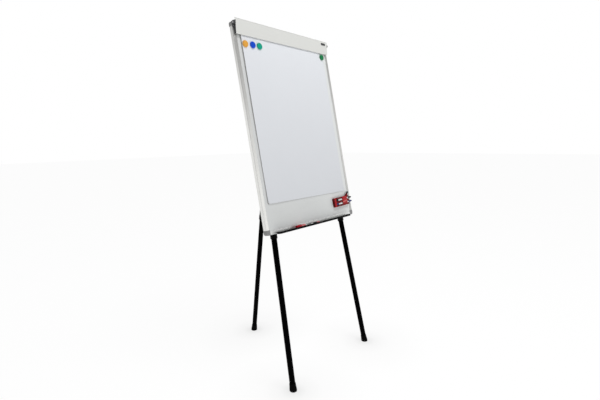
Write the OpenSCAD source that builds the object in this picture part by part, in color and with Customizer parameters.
// Tripod flipchart easel with a framed whiteboard, a hinged paper clamp and telescopic legs.
// Origin: on the floor, midway between the front feet and the rear foot. +X is to the right of a
// person facing the board, +Y points behind the board, +Z is up.
// The board has its own axes: x across, y from the front face towards the back, z up the slope.

/* [Board] */
// Width of the framed board
board_w = 700; // [680:10:760]
// Height of the framed board, measured up its slope
board_h = 1000; // [960:10:1100]
// Depth of the aluminium frame
frame_t = 19; // [19:1:24]
// Lean of the board from upright, in degrees
tilt = 11.2; // [9:0.2:13]
// Height of the board's lower front edge above the floor
board_z = 735; // [700:5:780]

/* [Legs] */
// Diameter of the telescopic lower tubes
lower_d = 27.5; // [26:0.5:27.5]
// Diameter of the upper tubes
upper_d = 31; // [31:0.5:31.5]
// Diameter of the twist-lock collars
collar_d = 34; // [34:0.5:36]
// Distance from the floor to a collar, along the leg
collar_up = 718; // [690:2:722]
// Sideways splay of each front leg, in degrees
splay = 3; // [1:0.5:4]
// Distance of each front leg from the centre line, level with the board's lower edge
leg_x = 272.5; // [262:0.5:285]
// Distance the rear foot stands behind the board's lower front edge
rear_foot_y = 501; // [460:1:540]
// Length of lower tube held inside its upper tube when the easel stands open
overlap = 150; // [130:10:200]

/* [Paper] */
// Width of the paper pad
pad_w = 610; // [590:1:612]
// Height of the paper pad
pad_h = 835; // [800:5:840]
// Thickness of the pad's sheets
pad_t = 2; // [1.5:0.5:4.5]
// Distance of the pad's centre to the left of the board's centre
pad_left = 4.5; // [3:0.5:6]
// Distance between the two pad hooks
hook_gap = 460; // [400:10:470]

/* [Tray and holder] */
// Width of the pen tray
tray_w = 580; // [520:10:620]
// Depth of the pen tray in front of the board
tray_d = 31; // [28:1:36]
// Length of the magnetic marker holder
caddy_l = 140; // [134:1:144]
// Turn of the marker holder on the board, in degrees
caddy_turn = 2; // [0:1:6]

/* [Hidden] */
$fn = 48;
sides = [-1, 1];
run_gap = 0.06;   // radial clearance of parts that turn or slide on each other
seat_gap = 0.1;   // clearance of parts that are fixed to each other
cut = 1;          // how far a cutting shape runs past what it cuts
join = 0.1;       // how far shapes that make one solid run into each other

// Screws, by radius: pan screws hold fittings to the panel, small screws go into the frame
pan_r = 1.8;
pan_head_r = 4;
pan_head_h = 2.4;
pan_pilot = 1.85;                    // its hole in the panel
pan_clear = 2.05;                    // its hole in a fitting
pilot_front = 5;                     // depth on the board at which the pilot holes end
small_r = 1.5;
small_head_r = 3;
small_head_h = 1.4;
screw_bore = 1.6;                    // hole for a small screw
rail_hole_back = 9;                  // depth on the board at which the rail screws' holes end

// Framed panel
wall = 1.4;                          // wall of the frame profile and of the corner caps
lip = 19;                            // width of the frame's front lip
chamber = 16;                        // width of the frame's hollow chamber
panel_front = wall + seat_gap;
sheet_t = 0.6;
panel_back = 12.1;
core_front = panel_front + sheet_t;
core_back = panel_back - sheet_t;
corner = 24;                         // length of frame edge covered by a corner cap
corner_r = 12;
panel_w = board_w - 2 * (wall + seat_gap);
panel_h = board_h - 2 * (wall + seat_gap);

// Front legs, in the board's axes
leg_y = frame_t + collar_d / 2 + 0.5;
leg_drop = (board_z - leg_y * sin(tilt)) / cos(tilt);
foot_x = leg_x + leg_drop * tan(splay);
front_foot_y = leg_y * cos(tilt) - leg_drop * sin(tilt);
leg_below = 55;                      // distance of the front tubes' ends below the board's top
front_top = (leg_drop + board_h - leg_below) / cos(splay);
saddle_v = [70, board_h - 100];
saddle_h = 30;
saddle_screw_x = 24.5;               // distance of a saddle's screws from the leg's centre line
saddle_y = 20;                       // outer face of a saddle's flange

// Rear leg: its hinge stands off the back of the board
hinge_y = 76;
hinge_v = board_h - 20;
hinge_yw = hinge_y * cos(tilt) + hinge_v * sin(tilt);
hinge_zw = board_z - hinge_y * sin(tilt) + hinge_v * cos(tilt);
rear_lean = atan((rear_foot_y - hinge_yw) / hinge_zw);
rear_len = hinge_zw / cos(rear_lean);
head_drop = 30;                      // distance of the rear tube's end below the hinge
rear_top = rear_len - head_drop;
bracket_low = board_h - 100;
bracket_high = board_h - 25;
bracket_screw_x = 35;
bracket_screw_v = [board_h - 85, board_h - 40];
ear_in = 17;
ear_t = 2.5;
bolt_r = 4;
head_r = 10;                         // half the thickness of the rear leg's head
heel = 16;                           // how far the head reaches past the hinge
stop_r = 3;
fold = tilt + rear_lean;             // angle between the board and the open rear leg
stop_up = 12;                        // height of the stop above the hinge, along the open leg
stop_off = head_r + stop_r + 0.3;
stop_y = hinge_y - stop_up * sin(fold) - stop_off * cos(fold);
stop_v = hinge_v + stop_up * cos(fold) - stop_off * sin(fold);

// Telescopic tubes, measured along a leg from the floor
lower_r = lower_d / 2;
upper_r = upper_d / 2;
collar_r = collar_d / 2;
tube_wall = 1;
bore_r = upper_r - tube_wall;
collar_h = 28;
tube_start = collar_up + 20.2;       // lower end of the upper tube, inside the collar
neck = 20.1;                         // height inside a collar at which it widens for the tube
collar_floor = 1.8;                  // thickness of the ring under the collet
grip_r = upper_r - 0.5;              // radius of a collet inside its collar
plug_in = 18;                        // length of a guide plug inside the lower tube
plug_out = 13;                       // length of a guide plug above the lower tube
sole = 8;                            // thickness of the rubber under the lower tube
lower_top = collar_up + overlap;
foot_r = 18;
foot_h = 35;

// Middle of the footprint, from the front feet to the rear foot
y_mid = (rear_foot_y + foot_r * cos(rear_lean) + front_foot_y - foot_r * cos(tilt)) / 2;

// Clamp across the top of the board: an outline in depth and height on the board
clamp_half = board_w / 2 - 9;
pivot_y = -9;
pivot_v = board_h - 12;
pin_r = 2.5;
bar_t = 1.5;
bar_low = [-11, board_h - 63];
bar_top = [-22, board_h + 3];
bar_edge = [-15, board_h + 10];
end_t = 6;                           // thickness of the clamp's end plates
ear_x = clamp_half + 0.6;            // inner face of the ear on the frame
ear_w = 7;
ear_screw = [board_w / 2 - 4.9, board_h - 27];
ear_foot_y = -4.5;
coil_r = 4.2;
wire_r = 0.6;
coil_turns = 6;
coil_pitch = 1.6;
coil_x = clamp_half - 22;

// Hook rail on the front of the top frame bar: a channel with a slot in its floor
rail_half = board_w / 2 - 50;
rail_v = board_h - 10;               // height of its screws
rail_screw_in = 15;                  // distance of the outer screws from the rail's ends
rail_low = board_h - 18.6;
rail_high = board_h - 1;
rail_front = -5.2;
rail_web = -1.05;                    // front of the channel's back wall
rail_slot = -2.3;                    // front of the slot in the floor
rail_t = 1;
hook_v = board_h - 34;
hook_r = 3;
hook_w = 18;
peg_front = -12;
peg_head_r = 3.8;
peg_head_t = 1.4;

// Paper pad: it hangs from the hooks and leans in until its lower edge meets the board
pad_top = board_h - 22;
pad_back = -2.35;
backing_t = 1.2;
pad_lean = asin((panel_front - 0.3 - pad_back) / pad_h);
slot_w = 50;
slot_h = 8;
layer_gap = 0.05;                    // clearance between the pad's layers
binding_t = 0.4;
binding_h = 38;

// Pen tray
tray_t = 2;
tray_gap = 0.2;                      // clearance under the bottom frame bar
tray_low = -tray_gap - tray_t;
tray_lip = 9.8;
tray_wall = 2.2;
tray_r = 12;
tray_flange = 18.5;
tray_bore = 1.75;
tray_pen_y = -16;                    // depth at which the markers lie in the tray
tray_screw_x = 220;
tray_screw_y = frame_t - 3.4;

// Marker holder and markers
caddy_x = board_w / 2 - 100;
caddy_v = 87;
caddy_h = 50;
caddy_d = 15;
pen_r = 5.6;
pen_y = -8;
pen_z = 11;
pen_from = -53;
cap_from = 66;
pocket = [110, 1.5, 40];             // room for the magnetic sheet
window_h = 14;
window_x = [-52, 4, 50];             // ends of the long windows and start of the open ends
socket_x = 52;
socket_turn = 50;
socket_r = 6.4;
socket_l = 14;
magnet_r = 16;
magnet_h = 7;

module board_space() {
    translate([0, -y_mid, board_z]) rotate([-tilt, 0, 0]) children();
}

// Axes of one leg: origin at its contact with the floor, z up the leg.
// side is -1 for the left front leg, 1 for the right front leg and 0 for the rear leg
module leg_space(side) {
    if (side == 0)
        translate([0, rear_foot_y - y_mid, 0]) rotate([rear_lean, 0, 0]) children();
    else
        board_space() translate([side * foot_x, leg_y, -leg_drop])
            rotate([0, -side * splay, 0]) children();
}

// Extrudes an outline drawn in depth and height along x, from x0 to x1
module across(x0, x1) {
    translate([x0, 0, 0]) rotate([90, 0, 90]) linear_extrude(x1 - x0) children();
}

// Extrudes an outline drawn in x and height from depth y0 back to y1
module depthwise(y0, y1) {
    translate([0, y1, 0]) rotate([90, 0, 0]) linear_extrude(y1 - y0) children();
}

module round_box_2d(w, h, r) {
    hull() for (x = sides, z = sides)
        translate([x * (w / 2 - r), z * (h / 2 - r)]) circle(r);
}

module tube(r_out, r_in, z0, z1) {
    translate([0, 0, z0]) difference() {
        cylinder(r = r_out, h = z1 - z0);
        translate([0, 0, -cut]) cylinder(r = r_in, h = z1 - z0 + 2 * cut);
    }
}

// A round rod along y from depth y0 to y1
module rod_y(r, y0, y1) {
    translate([0, y0, 0]) rotate([-90, 0, 0]) cylinder(r = r, h = y1 - y0);
}

// A round rod along x from x0 to x1
module rod_x(r, x0, x1) {
    translate([x0, 0, 0]) rotate([0, 90, 0]) cylinder(r = r, h = x1 - x0);
}

// ---- Framed panel ----

module panel_plate(y0, y1) {
    depthwise(y0, y1) translate([0, board_h / 2]) round_box_2d(panel_w, panel_h, corner_r - wall);
}

// Puts the children at each saddle screw, with y along the screw
module at_saddle_screws() {
    for (side = sides, v = saddle_v, dx = sides)
        translate([side * (leg_x - v * tan(splay)) + dx * saddle_screw_x, 0, v]) children();
}

module at_bracket_screws() {
    for (x = sides, v = bracket_screw_v)
        translate([x * bracket_screw_x, 0, v]) children();
}

module at_rail_screws() {
    for (part = [-1, -1 / 3, 1 / 3, 1]) translate([part * (rail_half - rail_screw_in), 0, rail_v]) children();
}

module face_sheet() {
    color("whitesmoke") board_space() difference() {
        panel_plate(panel_front, core_front);
        at_rail_screws() rod_y(screw_bore, 0, core_back);
    }
}

module panel_core() {
    color("burlywood") board_space() difference() {
        panel_plate(core_front, core_back);
        at_rail_screws() rod_y(screw_bore, 0, rail_hole_back);
        at_saddle_screws() rod_y(pan_pilot, pilot_front, panel_back);
        at_bracket_screws() rod_y(pan_pilot, pilot_front, panel_back);
    }
}

module back_sheet() {
    color("gainsboro") board_space() difference() {
        panel_plate(core_back, panel_back);
        at_saddle_screws() rod_y(pan_pilot, pilot_front, panel_back + cut);
        at_bracket_screws() rod_y(pan_pilot, pilot_front, panel_back + cut);
    }
}

// Section of the frame: x is the distance in from the board's edge, y the depth
module frame_2d() {
    edge_r = 2.5;
    difference() {
        hull() {
            translate([edge_r, edge_r]) circle(edge_r);
            translate([edge_r, frame_t - edge_r]) circle(edge_r);
            translate([lip - cut, 0]) square([cut, wall]);
            translate([chamber - cut, frame_t - cut]) square(cut);
        }
        translate([wall, wall]) square([lip, panel_back + seat_gap - wall]);
        translate([chamber, wall]) square([lip, frame_t]);
        translate([wall, panel_back + seat_gap + wall])
            square([chamber - 2 * wall, frame_t - panel_back - seat_gap - 2 * wall]);
    }
}

module frame_side(side) {
    length = board_h - 2 * corner;
    color("silver") board_space() translate([side * board_w / 2, 0, corner])
        mirror([side > 0 ? 1 : 0, 0, 0]) difference() {
            linear_extrude(length) frame_2d();
            translate([board_w / 2 - ear_screw[0], 0, ear_screw[1] - corner])
                rod_y(screw_bore, -cut, wall + cut);
        }
}

module frame_rail_bar(high) {
    length = board_w - 2 * corner;
    translate([-length / 2, 0, high ? board_h : 0]) mirror([0, 0, high ? 1 : 0])
        rotate([90, 0, 90]) linear_extrude(length) mirror([1, -1, 0]) frame_2d();
}

module frame_top() {
    color("silver") board_space() difference() {
        frame_rail_bar(true);
        at_rail_screws() rod_y(screw_bore, -cut, wall + cut);
    }
}

module frame_bottom() {
    color("silver") board_space() difference() {
        frame_rail_bar(false);
        at_tray_screws() cylinder(r = tray_bore, h = 2 * (wall + cut), center = true);
    }
}

// One corner cap, drawn for the lower left corner, with a peg into each frame bar's chamber
module corner_cap() {
    proud = 0.4;
    inner_r = 3;
    peg = 16;
    slot_back = panel_back + seat_gap;
    peg_w = chamber - 2 * wall - 2 * seat_gap;
    peg_t = frame_t - slot_back - 2 * wall - 2 * seat_gap;
    difference() {
        depthwise(-proud, frame_t + proud) difference() {
            union() {
                translate([corner_r - proud, -proud])
                    square([corner - corner_r + proud, corner + proud]);
                translate([-proud, corner_r - proud])
                    square([corner + proud, corner - corner_r + proud]);
                translate([corner_r - proud, corner_r - proud]) circle(corner_r);
            }
            translate([corner, corner]) circle(inner_r);
        }
        depthwise(wall, slot_back) union() {
            translate([corner_r, wall]) square([corner, corner]);
            translate([wall, corner_r]) square([corner, corner]);
            translate([corner_r, corner_r]) circle(corner_r - wall);
        }
    }
    for (upright = [0, 1])
        mirror([upright, 0, -upright])
            translate([corner - cut, slot_back + wall + seat_gap, wall + seat_gap])
                cube([peg + cut, peg_t, peg_w]);
}

module corner_caps() {
    color("darkgray") board_space() for (right = [0, 1], high = [0, 1])
        translate([(right - 0.5) * board_w, 0, high * board_h])
            mirror([right, 0, 0]) mirror([0, 0, high]) corner_cap();
}

// ---- Clamp and its pivots ----

module at_pivot_screws() {
    for (side = sides) translate([side * ear_screw[0], 0, ear_screw[1]]) children();
}

// Ear on the frame that carries one end of the clamp
module clamp_pivot(side) {
    back = -0.5;
    knuckle_r = 9.5;
    arm_y = -6;
    arm_v = board_h - 22;
    arm_h = 18;
    base_v = board_h - 33;
    base_h = 30;
    color("#2b2b2d") board_space() mirror([side > 0 ? 0 : 1, 0, 0]) difference() {
        union() {
            across(ear_x, ear_x + ear_w) hull() {
                translate([pivot_y - 1, pivot_v]) circle(knuckle_r);
                translate([arm_y, arm_v]) square([back - arm_y, arm_h]);
            }
            across(ear_x, ear_x + ear_w)
                translate([ear_foot_y, base_v]) square([back - ear_foot_y, base_h]);
        }
        translate([0, pivot_y, pivot_v]) rod_x(pin_r + run_gap, ear_x - cut, ear_x + ear_w + cut);
        translate([ear_screw[0], 0, ear_screw[1]]) rod_y(screw_bore, ear_foot_y - cut, 0);
    }
}

module small_screw(head_y, length) {
    rod_y(small_head_r, head_y - small_head_h, head_y);
    rod_y(small_r, head_y - join, head_y + length);
}

module small_screws() {
    color("lightgray") board_space() {
        at_pivot_screws() small_screw(ear_foot_y, 5.85);
        at_rail_screws() small_screw(rail_web - 0.02, 9.9);
    }
}

module clamp_pins() {
    x_out = ear_x + ear_w + 0.05;
    rivet_r = 4;
    rivet_h = 1.2;
    color("silver") board_space() for (side = [0, 1]) mirror([side, 0, 0])
        translate([0, pivot_y, pivot_v]) {
            rod_x(pin_r, coil_x - 2, x_out + join);
            rod_x(rivet_r, x_out, x_out + rivet_h);
        }
}

// Section of the folded clamp bar
module bar_2d() {
    inner_top = [bar_top[0] + 1.9, bar_top[1] - 0.4];
    polygon([bar_low, bar_top, bar_edge, bar_edge - [0, 1.8], inner_top, bar_low + [bar_t, 0]]);
}

module clamp_bar() {
    color("#dadbd7") board_space() {
        across(-clamp_half, clamp_half) bar_2d();
        translate([0, bar_low[0] + bar_t / 2, bar_low[1] + 0.2])
            rod_x(bar_t / 2 + 0.25, -clamp_half, clamp_half);
    }
}

// Soft strip inside the bar's lower edge: its face stands just off the pad
module clamp_grip() {
    low = bar_low + [bar_t - join, 1.6];
    face = pad_back - backing_t - pad_t - 0.55;
    grip_half = clamp_half - 41;
    color("#5a5a5c") board_space() across(-grip_half, grip_half)
        polygon([low, [face, low[1] + 0.8], [face, low[1] + 8.4], [bar_low[0], low[1] + 9.4]]);
}

// End plate inside one end of the clamp bar, with a hub for the pivot pin
module clamp_end(side) {
    x0 = clamp_half - end_t;
    hub_r = 8.4;
    color("#2b2b2d") board_space() mirror([side > 0 ? 0 : 1, 0, 0]) difference() {
        across(x0, clamp_half) hull() {
            translate([pivot_y, pivot_v]) circle(hub_r);
            translate(bar_top + [5, -4]) circle(1.6);
            translate(bar_low + [4.4, 4]) circle(2);
            translate(bar_low + [7.8, 6]) circle(2);
        }
        translate([0, pivot_y, pivot_v]) rod_x(pin_r + run_gap, x0 - cut, clamp_half + cut);
    }
}

// Path of a torsion spring: a short arm, the coil and a long arm, each point with the
// direction that points away from the coil's axis
function spin(a) = [0, cos(a), sin(a)];
coil_step = 30;
front_arm = 11;
back_arm = 16;
coil_end = 360 * coil_turns + 180;
coil_path = concat(
    [[[0, coil_r + 5.5, -front_arm], spin(0)]],
    [for (a = [0 : coil_step : coil_end]) [[a * coil_pitch / 360, 0, 0] + coil_r * spin(a), spin(a)]],
    [[[coil_end * coil_pitch / 360, -coil_r - 1, -back_arm], spin(180)]]
);
function path_dir(p, i) = let (d = p[min(i + 1, len(p) - 1)][0] - p[max(i - 1, 0)][0]) d / norm(d);

// Sweeps a round wire along a path of points and outward directions
module wire(path, r, n) {
    rings = [for (i = [0 : len(path) - 1], k = [0 : n - 1])
        let (t = path_dir(path, i), o = path[i][1], s = cross(t, o), u = s / norm(s), w = cross(u, t))
        path[i][0] + r * (cos(k * 360 / n) * w + sin(k * 360 / n) * u)];
    last = len(path) - 1;
    skin = [for (i = [0 : last - 1], k = [0 : n - 1]) let (j = (k + 1) % n)
        [i * n + k, i * n + j, (i + 1) * n + j, (i + 1) * n + k]];
    ends = [[for (k = [n - 1 : -1 : 0]) k], [for (k = [0 : n - 1]) last * n + k]];
    polyhedron(rings, concat(skin, ends));
}

module clamp_springs() {
    color("gray") board_space() for (side = [0, 1]) mirror([side, 0, 0])
        translate([coil_x, pivot_y, pivot_v]) wire(coil_path, wire_r, 6);
}

// ---- Hook rail and hooks ----

module hook_rail() {
    color("lightgray") board_space() difference() {
        across(-rail_half, rail_half) difference() {
            translate([rail_front, rail_low]) square([-0.05 - rail_front, rail_high - rail_low]);
            translate([rail_front + rail_t, rail_low + rail_t])
                square([rail_web - rail_front - rail_t, rail_high - rail_low - 2 * rail_t]);
            translate([rail_slot, rail_low - cut]) square([rail_web - rail_slot, rail_t + 2 * cut]);
        }
        at_rail_screws() rod_y(screw_bore, rail_web - cut, cut);
        at_rail_screws() rod_y(small_head_r + 0.3, rail_front - cut, rail_front + rail_t + cut);
    }
}

// Block that slides in the rail, its tongue through the slot and a headed peg for the paper
module hook(side) {
    inside = rail_high - rail_low - 2 * (rail_t + seat_gap);
    tongue = 1;
    tongue_low = hook_v - 8;
    color("#2b2b2d") board_space() translate([side * hook_gap / 2 - pad_left, 0, 0]) {
        translate([-hook_w / 2, rail_front + rail_t + seat_gap, rail_low + rail_t + seat_gap])
            cube([hook_w, rail_web - rail_front - rail_t - 2 * seat_gap, inside]);
        translate([-hook_w / 2, rail_web - seat_gap - tongue, tongue_low])
            cube([hook_w, tongue, rail_low + 4 - tongue_low]);
        translate([0, 0, hook_v]) rod_y(hook_r, peg_front, rail_web - seat_gap - tongue / 2);
        translate([0, 0, hook_v]) rod_y(peg_head_r, peg_front, peg_front + peg_head_t);
    }
}

// ---- Pen tray ----

module at_tray_screws() {
    for (x = [-1, 0, 1]) translate([x * tray_screw_x, tray_screw_y, 0]) children();
}

module tray_plan(inset) {
    r = tray_r - inset;
    translate([0, -tray_d / 2]) round_box_2d(tray_w - 2 * inset, tray_d - 2 * inset, r);
}

module pen_tray() {
    flange_w = tray_w - 28;
    back = 3;                        // the rear lip is cut away this far from the board
    color("#1c1c1e") board_space() difference() {
        union() {
            translate([0, 0, tray_low]) linear_extrude(tray_lip) tray_plan(0);
            translate([-flange_w / 2, -back, tray_low]) cube([flange_w, tray_flange + back, tray_t]);
        }
        translate([0, 0, -tray_gap]) linear_extrude(tray_lip) tray_plan(tray_wall);
        translate([-tray_w / 2, -back, -tray_gap]) cube([tray_w, 2 * back, tray_lip]);
        at_tray_screws() cylinder(r = tray_bore, h = 10, center = true);
    }
}

module tray_screws() {
    head_h = 1.8;
    shank_l = 6;
    color("silver") board_space() at_tray_screws() {
        translate([0, 0, tray_low - head_h]) cylinder(r = 3.2, h = head_h);
        translate([0, 0, tray_low - join]) cylinder(r = tray_bore - seat_gap, h = shank_l);
    }
}

// ---- Legs ----

module upper_tube(side) {
    color("#18181a") leg_space(side) tube(upper_r, bore_r, tube_start, side == 0 ? rear_top : front_top);
}

module tube_caps() {
    spigot = 12;
    color("#222224") for (side = sides) leg_space(side) translate([0, 0, front_top]) {
        translate([0, 0, -spigot]) cylinder(r = bore_r - run_gap, h = spigot + join);
        rotate_extrude()
            polygon([[0, join], [upper_r, join], [upper_r, 2.5], [upper_r - 2, 4.5], [0, 5]]);
    }
}

// Block that holds a front leg against the back of the board
module leg_saddle(side, v) {
    flange_w = 62;
    shell_r = upper_r + 3.4;
    board_space() difference() {
        translate([side * (leg_x - v * tan(splay)), 0, v]) rotate([0, -side * splay, 0]) union() {
            translate([-flange_w / 2, panel_back + 0.05, -saddle_h / 2])
                cube([flange_w, saddle_y - panel_back - 0.05, saddle_h]);
            translate([-shell_r, panel_back + 0.05, -saddle_h / 2])
                cube([2 * shell_r, leg_y - panel_back, saddle_h]);
            translate([0, leg_y, -saddle_h / 2]) cylinder(r = shell_r, h = saddle_h);
        }
        translate([side * (leg_x - v * tan(splay)), leg_y, v]) rotate([0, -side * splay, 0])
            cylinder(r = upper_r + run_gap, h = 2 * saddle_h, center = true);
        at_saddle_screws() rod_y(pan_clear, 0, saddle_y + cut);
    }
}

module leg_saddles() {
    color("#222224") for (side = sides, v = saddle_v) leg_saddle(side, v);
}

module pan_screw(head_y, depth) {
    rod_y(pan_head_r, head_y, head_y + pan_head_h);
    rod_y(pan_r, head_y - depth, head_y + join);
}

module saddle_screws() {
    color("silver") board_space() at_saddle_screws() pan_screw(saddle_y + 0.02, 14);
}

// Split bush in the mouth of an upper tube: the collar squeezes it onto the lower tube
module collet() {
    low = 2;
    shoulder = 20;
    high = 35;
    slit = 1.5;
    slit_high = 15;
    translate([0, 0, collar_up]) difference() {
        union() {
            translate([0, 0, low]) cylinder(r = grip_r, h = shoulder - low);
            translate([0, 0, shoulder - cut]) cylinder(r = bore_r - run_gap, h = high - shoulder + cut);
        }
        cylinder(r = lower_r + run_gap, h = high + cut);
        for (a = [0, 90]) rotate([0, 0, a])
            translate([-2 * grip_r, -slit / 2, 0]) cube([4 * grip_r, slit, slit_high]);
    }
}

module front_collets() {
    color("dimgray") for (side = sides) leg_space(side) collet();
}

module rear_collet() {
    color("dimgray") leg_space(0) collet();
}

// Fluted ring that turns to lock a lower tube
module collar(side) {
    flutes = 12;
    flute_r = 2;
    plain = 5;                       // smooth length at each end of the flutes
    color("#141416") leg_space(side) difference() {
        rotate_extrude() polygon([
            [lower_r + 0.6, collar_up], [collar_r - 1.2, collar_up], [collar_r, collar_up + 1.5],
            [collar_r, collar_up + collar_h - 2], [collar_r - 0.8, collar_up + collar_h],
            [upper_r + run_gap, collar_up + collar_h], [upper_r + run_gap, collar_up + neck],
            [grip_r + run_gap, collar_up + neck], [grip_r + run_gap, collar_up + collar_floor],
            [lower_r + 0.6, collar_up + collar_floor]
        ]);
        for (i = [0 : flutes - 1]) rotate([0, 0, (i + 0.5) * 360 / flutes])
            translate([collar_r + 1.4, 0, collar_up + plain]) cylinder(r = flute_r, h = collar_h - 2 * plain);
    }
}

module lower_tube(side) {
    color("#0e0e10") leg_space(side) tube(lower_r, lower_r - tube_wall, sole, lower_top);
}

// Guide in the top of a lower tube: it runs in the bore of the upper tube
module plug(side) {
    color("dimgray") leg_space(side) translate([0, 0, lower_top]) {
        translate([0, 0, -plug_in]) cylinder(r = lower_r - tube_wall - run_gap, h = plug_in + join);
        translate([0, 0, join]) cylinder(r = bore_r - run_gap, h = plug_out);
    }
}

module foot(side) {
    color("#101011") intersection() {
        leg_space(side) rotate_extrude() polygon([
            [0, -6], [foot_r - 1, -6], [foot_r, 3], [foot_r - 0.3, 10], [foot_r - 2, 20],
            [lower_r + 2, 30], [lower_r + 1.6, foot_h], [lower_r + run_gap, foot_h],
            [lower_r + run_gap, sole - seat_gap], [0, sole - seat_gap]
        ]);
        translate([-board_w, -board_w, 0]) cube([2 * board_w, 2 * board_w, 2 * foot_h]);
    }
}

// ---- Rear leg hinge ----

module rear_bracket() {
    base_half = 48;
    back = panel_back + 0.05;
    ear_r = 13;
    horn_r = 7;
    color("#2a2a2c") board_space() difference() {
        union() {
            depthwise(back, back + ear_t)
                translate([-base_half, bracket_low])
                    square([2 * base_half, bracket_high - bracket_low]);
            for (side = [0, 1]) mirror([side, 0, 0]) across(ear_in, ear_in + ear_t) hull() {
                translate([hinge_y, hinge_v]) circle(ear_r);
                translate([stop_y, stop_v]) circle(horn_r);
                translate([back + 0.5, bracket_low + 2]) square([2, bracket_high - bracket_low - 5]);
            }
            translate([0, stop_y, stop_v]) rod_x(stop_r, -ear_in - 1, ear_in + 1);
        }
        translate([0, hinge_y, hinge_v]) rod_x(bolt_r + run_gap, -base_half, base_half);
        at_bracket_screws() rod_y(pan_clear, 0, hinge_y);
    }
}

module bracket_screws() {
    color("silver") board_space() at_bracket_screws() pan_screw(panel_back + 0.07 + ear_t, 8);
}

// Bolt through the rear hinge with its nut, two separate solids
module hinge_bolt() {
    out = ear_in + ear_t + seat_gap;
    bolt_head = [7, 4.5];            // radius and height
    nut = [7.4, 6.5];                // radius over its corners and height
    past_nut = 9;
    color("silver") board_space() translate([0, hinge_y, hinge_v]) {
        rod_x(bolt_r, -out - join, out + past_nut);
        rod_x(bolt_head[0], -out - bolt_head[1], -out);
        translate([out, 0, 0]) rotate([0, 90, 0]) difference() {
            cylinder(r = nut[0], h = nut[1], $fn = 6);
            translate([0, 0, -cut]) cylinder(r = bolt_r + 0.02, h = nut[1] + 2 * cut);
        }
    }
}

// Head of the rear leg, pressed into its tube and hung on the hinge bolt
module rear_head() {
    half = ear_in - 0.4;
    spigot_low = -70;
    neck_top = -25;
    color("#222224") leg_space(0) translate([0, 0, rear_len]) difference() {
        union() {
            translate([0, 0, spigot_low]) cylinder(r = bore_r - run_gap, h = neck_top - spigot_low);
            across(-half, half) hull() {
                translate([0, heel - 4]) circle(4);
                translate([-head_r, -4]) square([2 * head_r, 4]);
                translate([head_r - 3, heel - 6]) circle(3);
                translate([-head_r + 3, heel - 6]) circle(3);
            }
            translate([-half, -head_r, seat_gap - head_drop]) cube([2 * half, 2 * head_r, 28]);
        }
        rod_x(bolt_r + run_gap, -half - cut, half + cut);
    }
}

module rear_tube() {
    upper_tube(0);
}

// ---- Paper pad ----

// Axes of the pad: origin at the middle of its top edge, on its back, z up the pad
module pad_space() {
    board_space() translate([-pad_left, pad_back, pad_top]) rotate([pad_lean, 0, 0]) children();
}

// A layer of the pad between depths y0 and y1, from the top edge down to z0
module pad_layer(y0, y1, w, z0) {
    difference() {
        translate([-w / 2, y0, z0]) cube([w, y1 - y0, -z0]);
        for (side = sides)
            translate([side * hook_gap / 2, 0, hook_v - pad_top])
                depthwise(y0 - cut, y1 + cut) round_box_2d(slot_w, slot_h, slot_h / 2);
    }
}

module pad_backing() {
    color("tan") pad_space() pad_layer(-backing_t, 0, pad_w, -pad_h);
}

module pad_sheets() {
    color("#e3e5ec") pad_space()
        pad_layer(-backing_t - layer_gap - pad_t, -backing_t - layer_gap, pad_w, -pad_h);
}

module pad_binding() {
    front = -backing_t - 2 * layer_gap - pad_t;
    color("lightsteelblue") pad_space() pad_layer(front - binding_t, front, pad_w, -binding_h);
}

// ---- Magnets ----

// A round magnet with a dished face, standing out from depth y
module magnet(x, y, v) {
    board_space() translate([x, y, v]) rotate([90, 0, 0]) rotate_extrude() polygon([
        [0, 0], [magnet_r, 0], [magnet_r, magnet_h - 2], [magnet_r - 1.2, magnet_h],
        [magnet_r - 3, magnet_h], [magnet_r - 5, magnet_h - 1], [0, magnet_h - 0.6]
    ]);
}

// Depth of the pad's front at height v on the board
function pad_face(v) =
    pad_back + (pad_top - v) * tan(pad_lean) - (backing_t + 2 * layer_gap + pad_t) / cos(pad_lean);

// A magnet on the pad, placed from the pad's left edge and down from its top
module pad_magnet(from_left, down) {
    v = pad_top - down;
    magnet(from_left - pad_left - pad_w / 2, pad_face(v + magnet_r) - 0.05, v);
}

module magnet_orange() {
    color("#e89a3c") pad_magnet(16.5, 80.5);
}

module magnet_blue() {
    color("#1f4fc0") pad_magnet(64, 78);
}

module magnet_teal() {
    color("#1f9b8a") pad_magnet(107.5, 77.5);
}

module magnet_green() {
    color("#2e8b57") pad_magnet(pad_w - 13.5, 62);
}

// ---- Marker holder ----

module caddy_space() {
    board_space() translate([caddy_x, panel_front - 0.1, caddy_v]) rotate([0, -caddy_turn, 0]) children();
}

// Axes of the short marker's socket on top of the holder
module socket_space() {
    translate([socket_x, pen_y, caddy_h / 2 - 1.5]) rotate([0, socket_turn, 0]) children();
}

// Opening in the holder's front from x0 to x1 that shows the marker behind it
module window(x0, x1) {
    translate([x0, -caddy_d, -window_h / 2]) cube([x1 - x0, caddy_d, window_h]);
}

module caddy_shell() {
    color("#b01820") caddy_space() difference() {
        union() {
            depthwise(-caddy_d, 0) round_box_2d(caddy_l, caddy_h, 5);
            socket_space() cylinder(r = socket_r, h = socket_l);
        }
        for (z = sides) translate([0, pen_y, z * pen_z]) {
            rod_x(pen_r + 0.3, pen_from - 2, caddy_l / 2 + cut);
            window(window_x[0], window_x[1]);
            window(window_x[2], caddy_l / 2 + cut);
        }
        translate([-pocket[0] / 2, -pocket[1], -pocket[2] / 2]) cube(pocket + [0, cut, 0]);
        socket_space() translate([0, 0, 4]) cylinder(r = socket_r - 2, h = socket_l);
    }
}

module caddy_magnet() {
    sheet = pocket - 2 * seat_gap * [1, 0.5, 1];
    color("dimgray") caddy_space() translate([-sheet[0] / 2, -sheet[1], -sheet[2] / 2]) cube(sheet);
}

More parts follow.
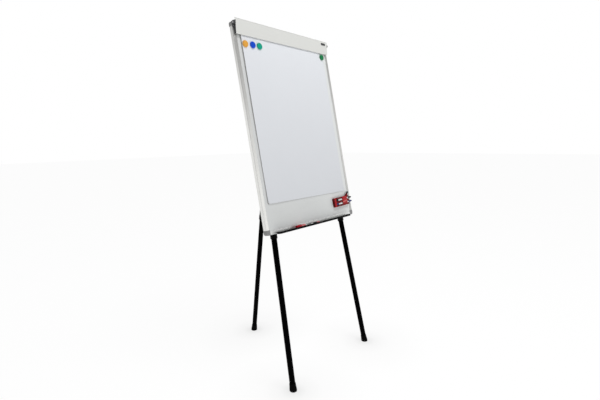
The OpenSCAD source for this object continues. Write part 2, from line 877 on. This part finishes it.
// A marker along x: plug, barrel from x0 to x1, then a tapered cap
module marker_x(r, x0, x1, cap_l) {
    rod_x(r - 0.9, x0, x0 + 3);
    rod_x(r, x0 + 2.5, x1);
    rod_x(r + 0.01, x1 - 0.5, x1 + 2);
    translate([x1 + 1.5, 0, 0]) rotate([0, 90, 0]) cylinder(r1 = r, r2 = r - 1.4, h = cap_l);
}

module holder_marker(z) {
    cap_l = 31.5;
    caddy_space() translate([0, pen_y, z]) marker_x(pen_r, pen_from, cap_from, cap_l);
}

module marker_black() {
    color("#1f2a28") holder_marker(pen_z);
}

module marker_blue() {
    color("#3a4a9a") holder_marker(-pen_z);
}

module marker_short() {
    color("#2b3a36") caddy_space() socket_space() {
        translate([0, 0, 4.2]) cylinder(r = 4.3, h = 10.8);
        translate([0, 0, 14.2]) cylinder(r1 = 5, r2 = 4.2, h = 18.8);
    }
}

// A marker lying in the tray from x0 to x1, its cap at the left
module tray_marker(x0, x1, r) {
    cap_end = x0 + 0.45 * (x1 - x0);
    board_space() translate([0, tray_pen_y, r - tray_gap + seat_gap]) {
        rod_x(r, x0, cap_end + cut);
        rod_x(r - 0.8, cap_end, x1 - 4);
        rod_x(r - 2, x1 - 5, x1);
    }
}

module tray_marker_red() {
    color("#b8202c") tray_marker(-162, -88, 8);
}

module tray_marker_black() {
    color("#26262a") tray_marker(-50, 18, 5.5);
}

face_sheet();
panel_core();
back_sheet();
frame_side(-1);  // frame_left
frame_side(1);  // frame_right
frame_top();
frame_bottom();
corner_caps();
clamp_pivot(-1);  // clamp_pivot_left
clamp_pivot(1);  // clamp_pivot_right
small_screws();
clamp_pins();
hook_rail();
pen_tray();
tray_screws();
upper_tube(-1);  // upper_tube_left
upper_tube(1);  // upper_tube_right
tube_caps();
leg_saddles();
saddle_screws();
front_collets();
rear_bracket();
bracket_screws();
hinge_bolt();
pad_sheets();
pad_backing();
pad_binding();
magnet_orange();
magnet_blue();
magnet_teal();
magnet_green();
caddy_shell();
caddy_magnet();
marker_black();
marker_blue();
marker_short();
tray_marker_red();
tray_marker_black();
clamp_bar();
clamp_grip();
clamp_end(-1);  // clamp_end_left
clamp_end(1);  // clamp_end_right
clamp_springs();
hook(-1);  // hook_left
hook(1);  // hook_right
rear_tube();
rear_head();
rear_collet();
collar(-1);  // collar_left
collar(1);  // collar_right
collar(0);  // collar_rear
lower_tube(-1);  // lower_tube_left
lower_tube(1);  // lower_tube_right
lower_tube(0);  // lower_tube_rear
plug(-1);  // plug_left
plug(1);  // plug_right
plug(0);  // plug_rear
foot(-1);  // foot_left
foot(1);  // foot_right
foot(0);  // foot_rear
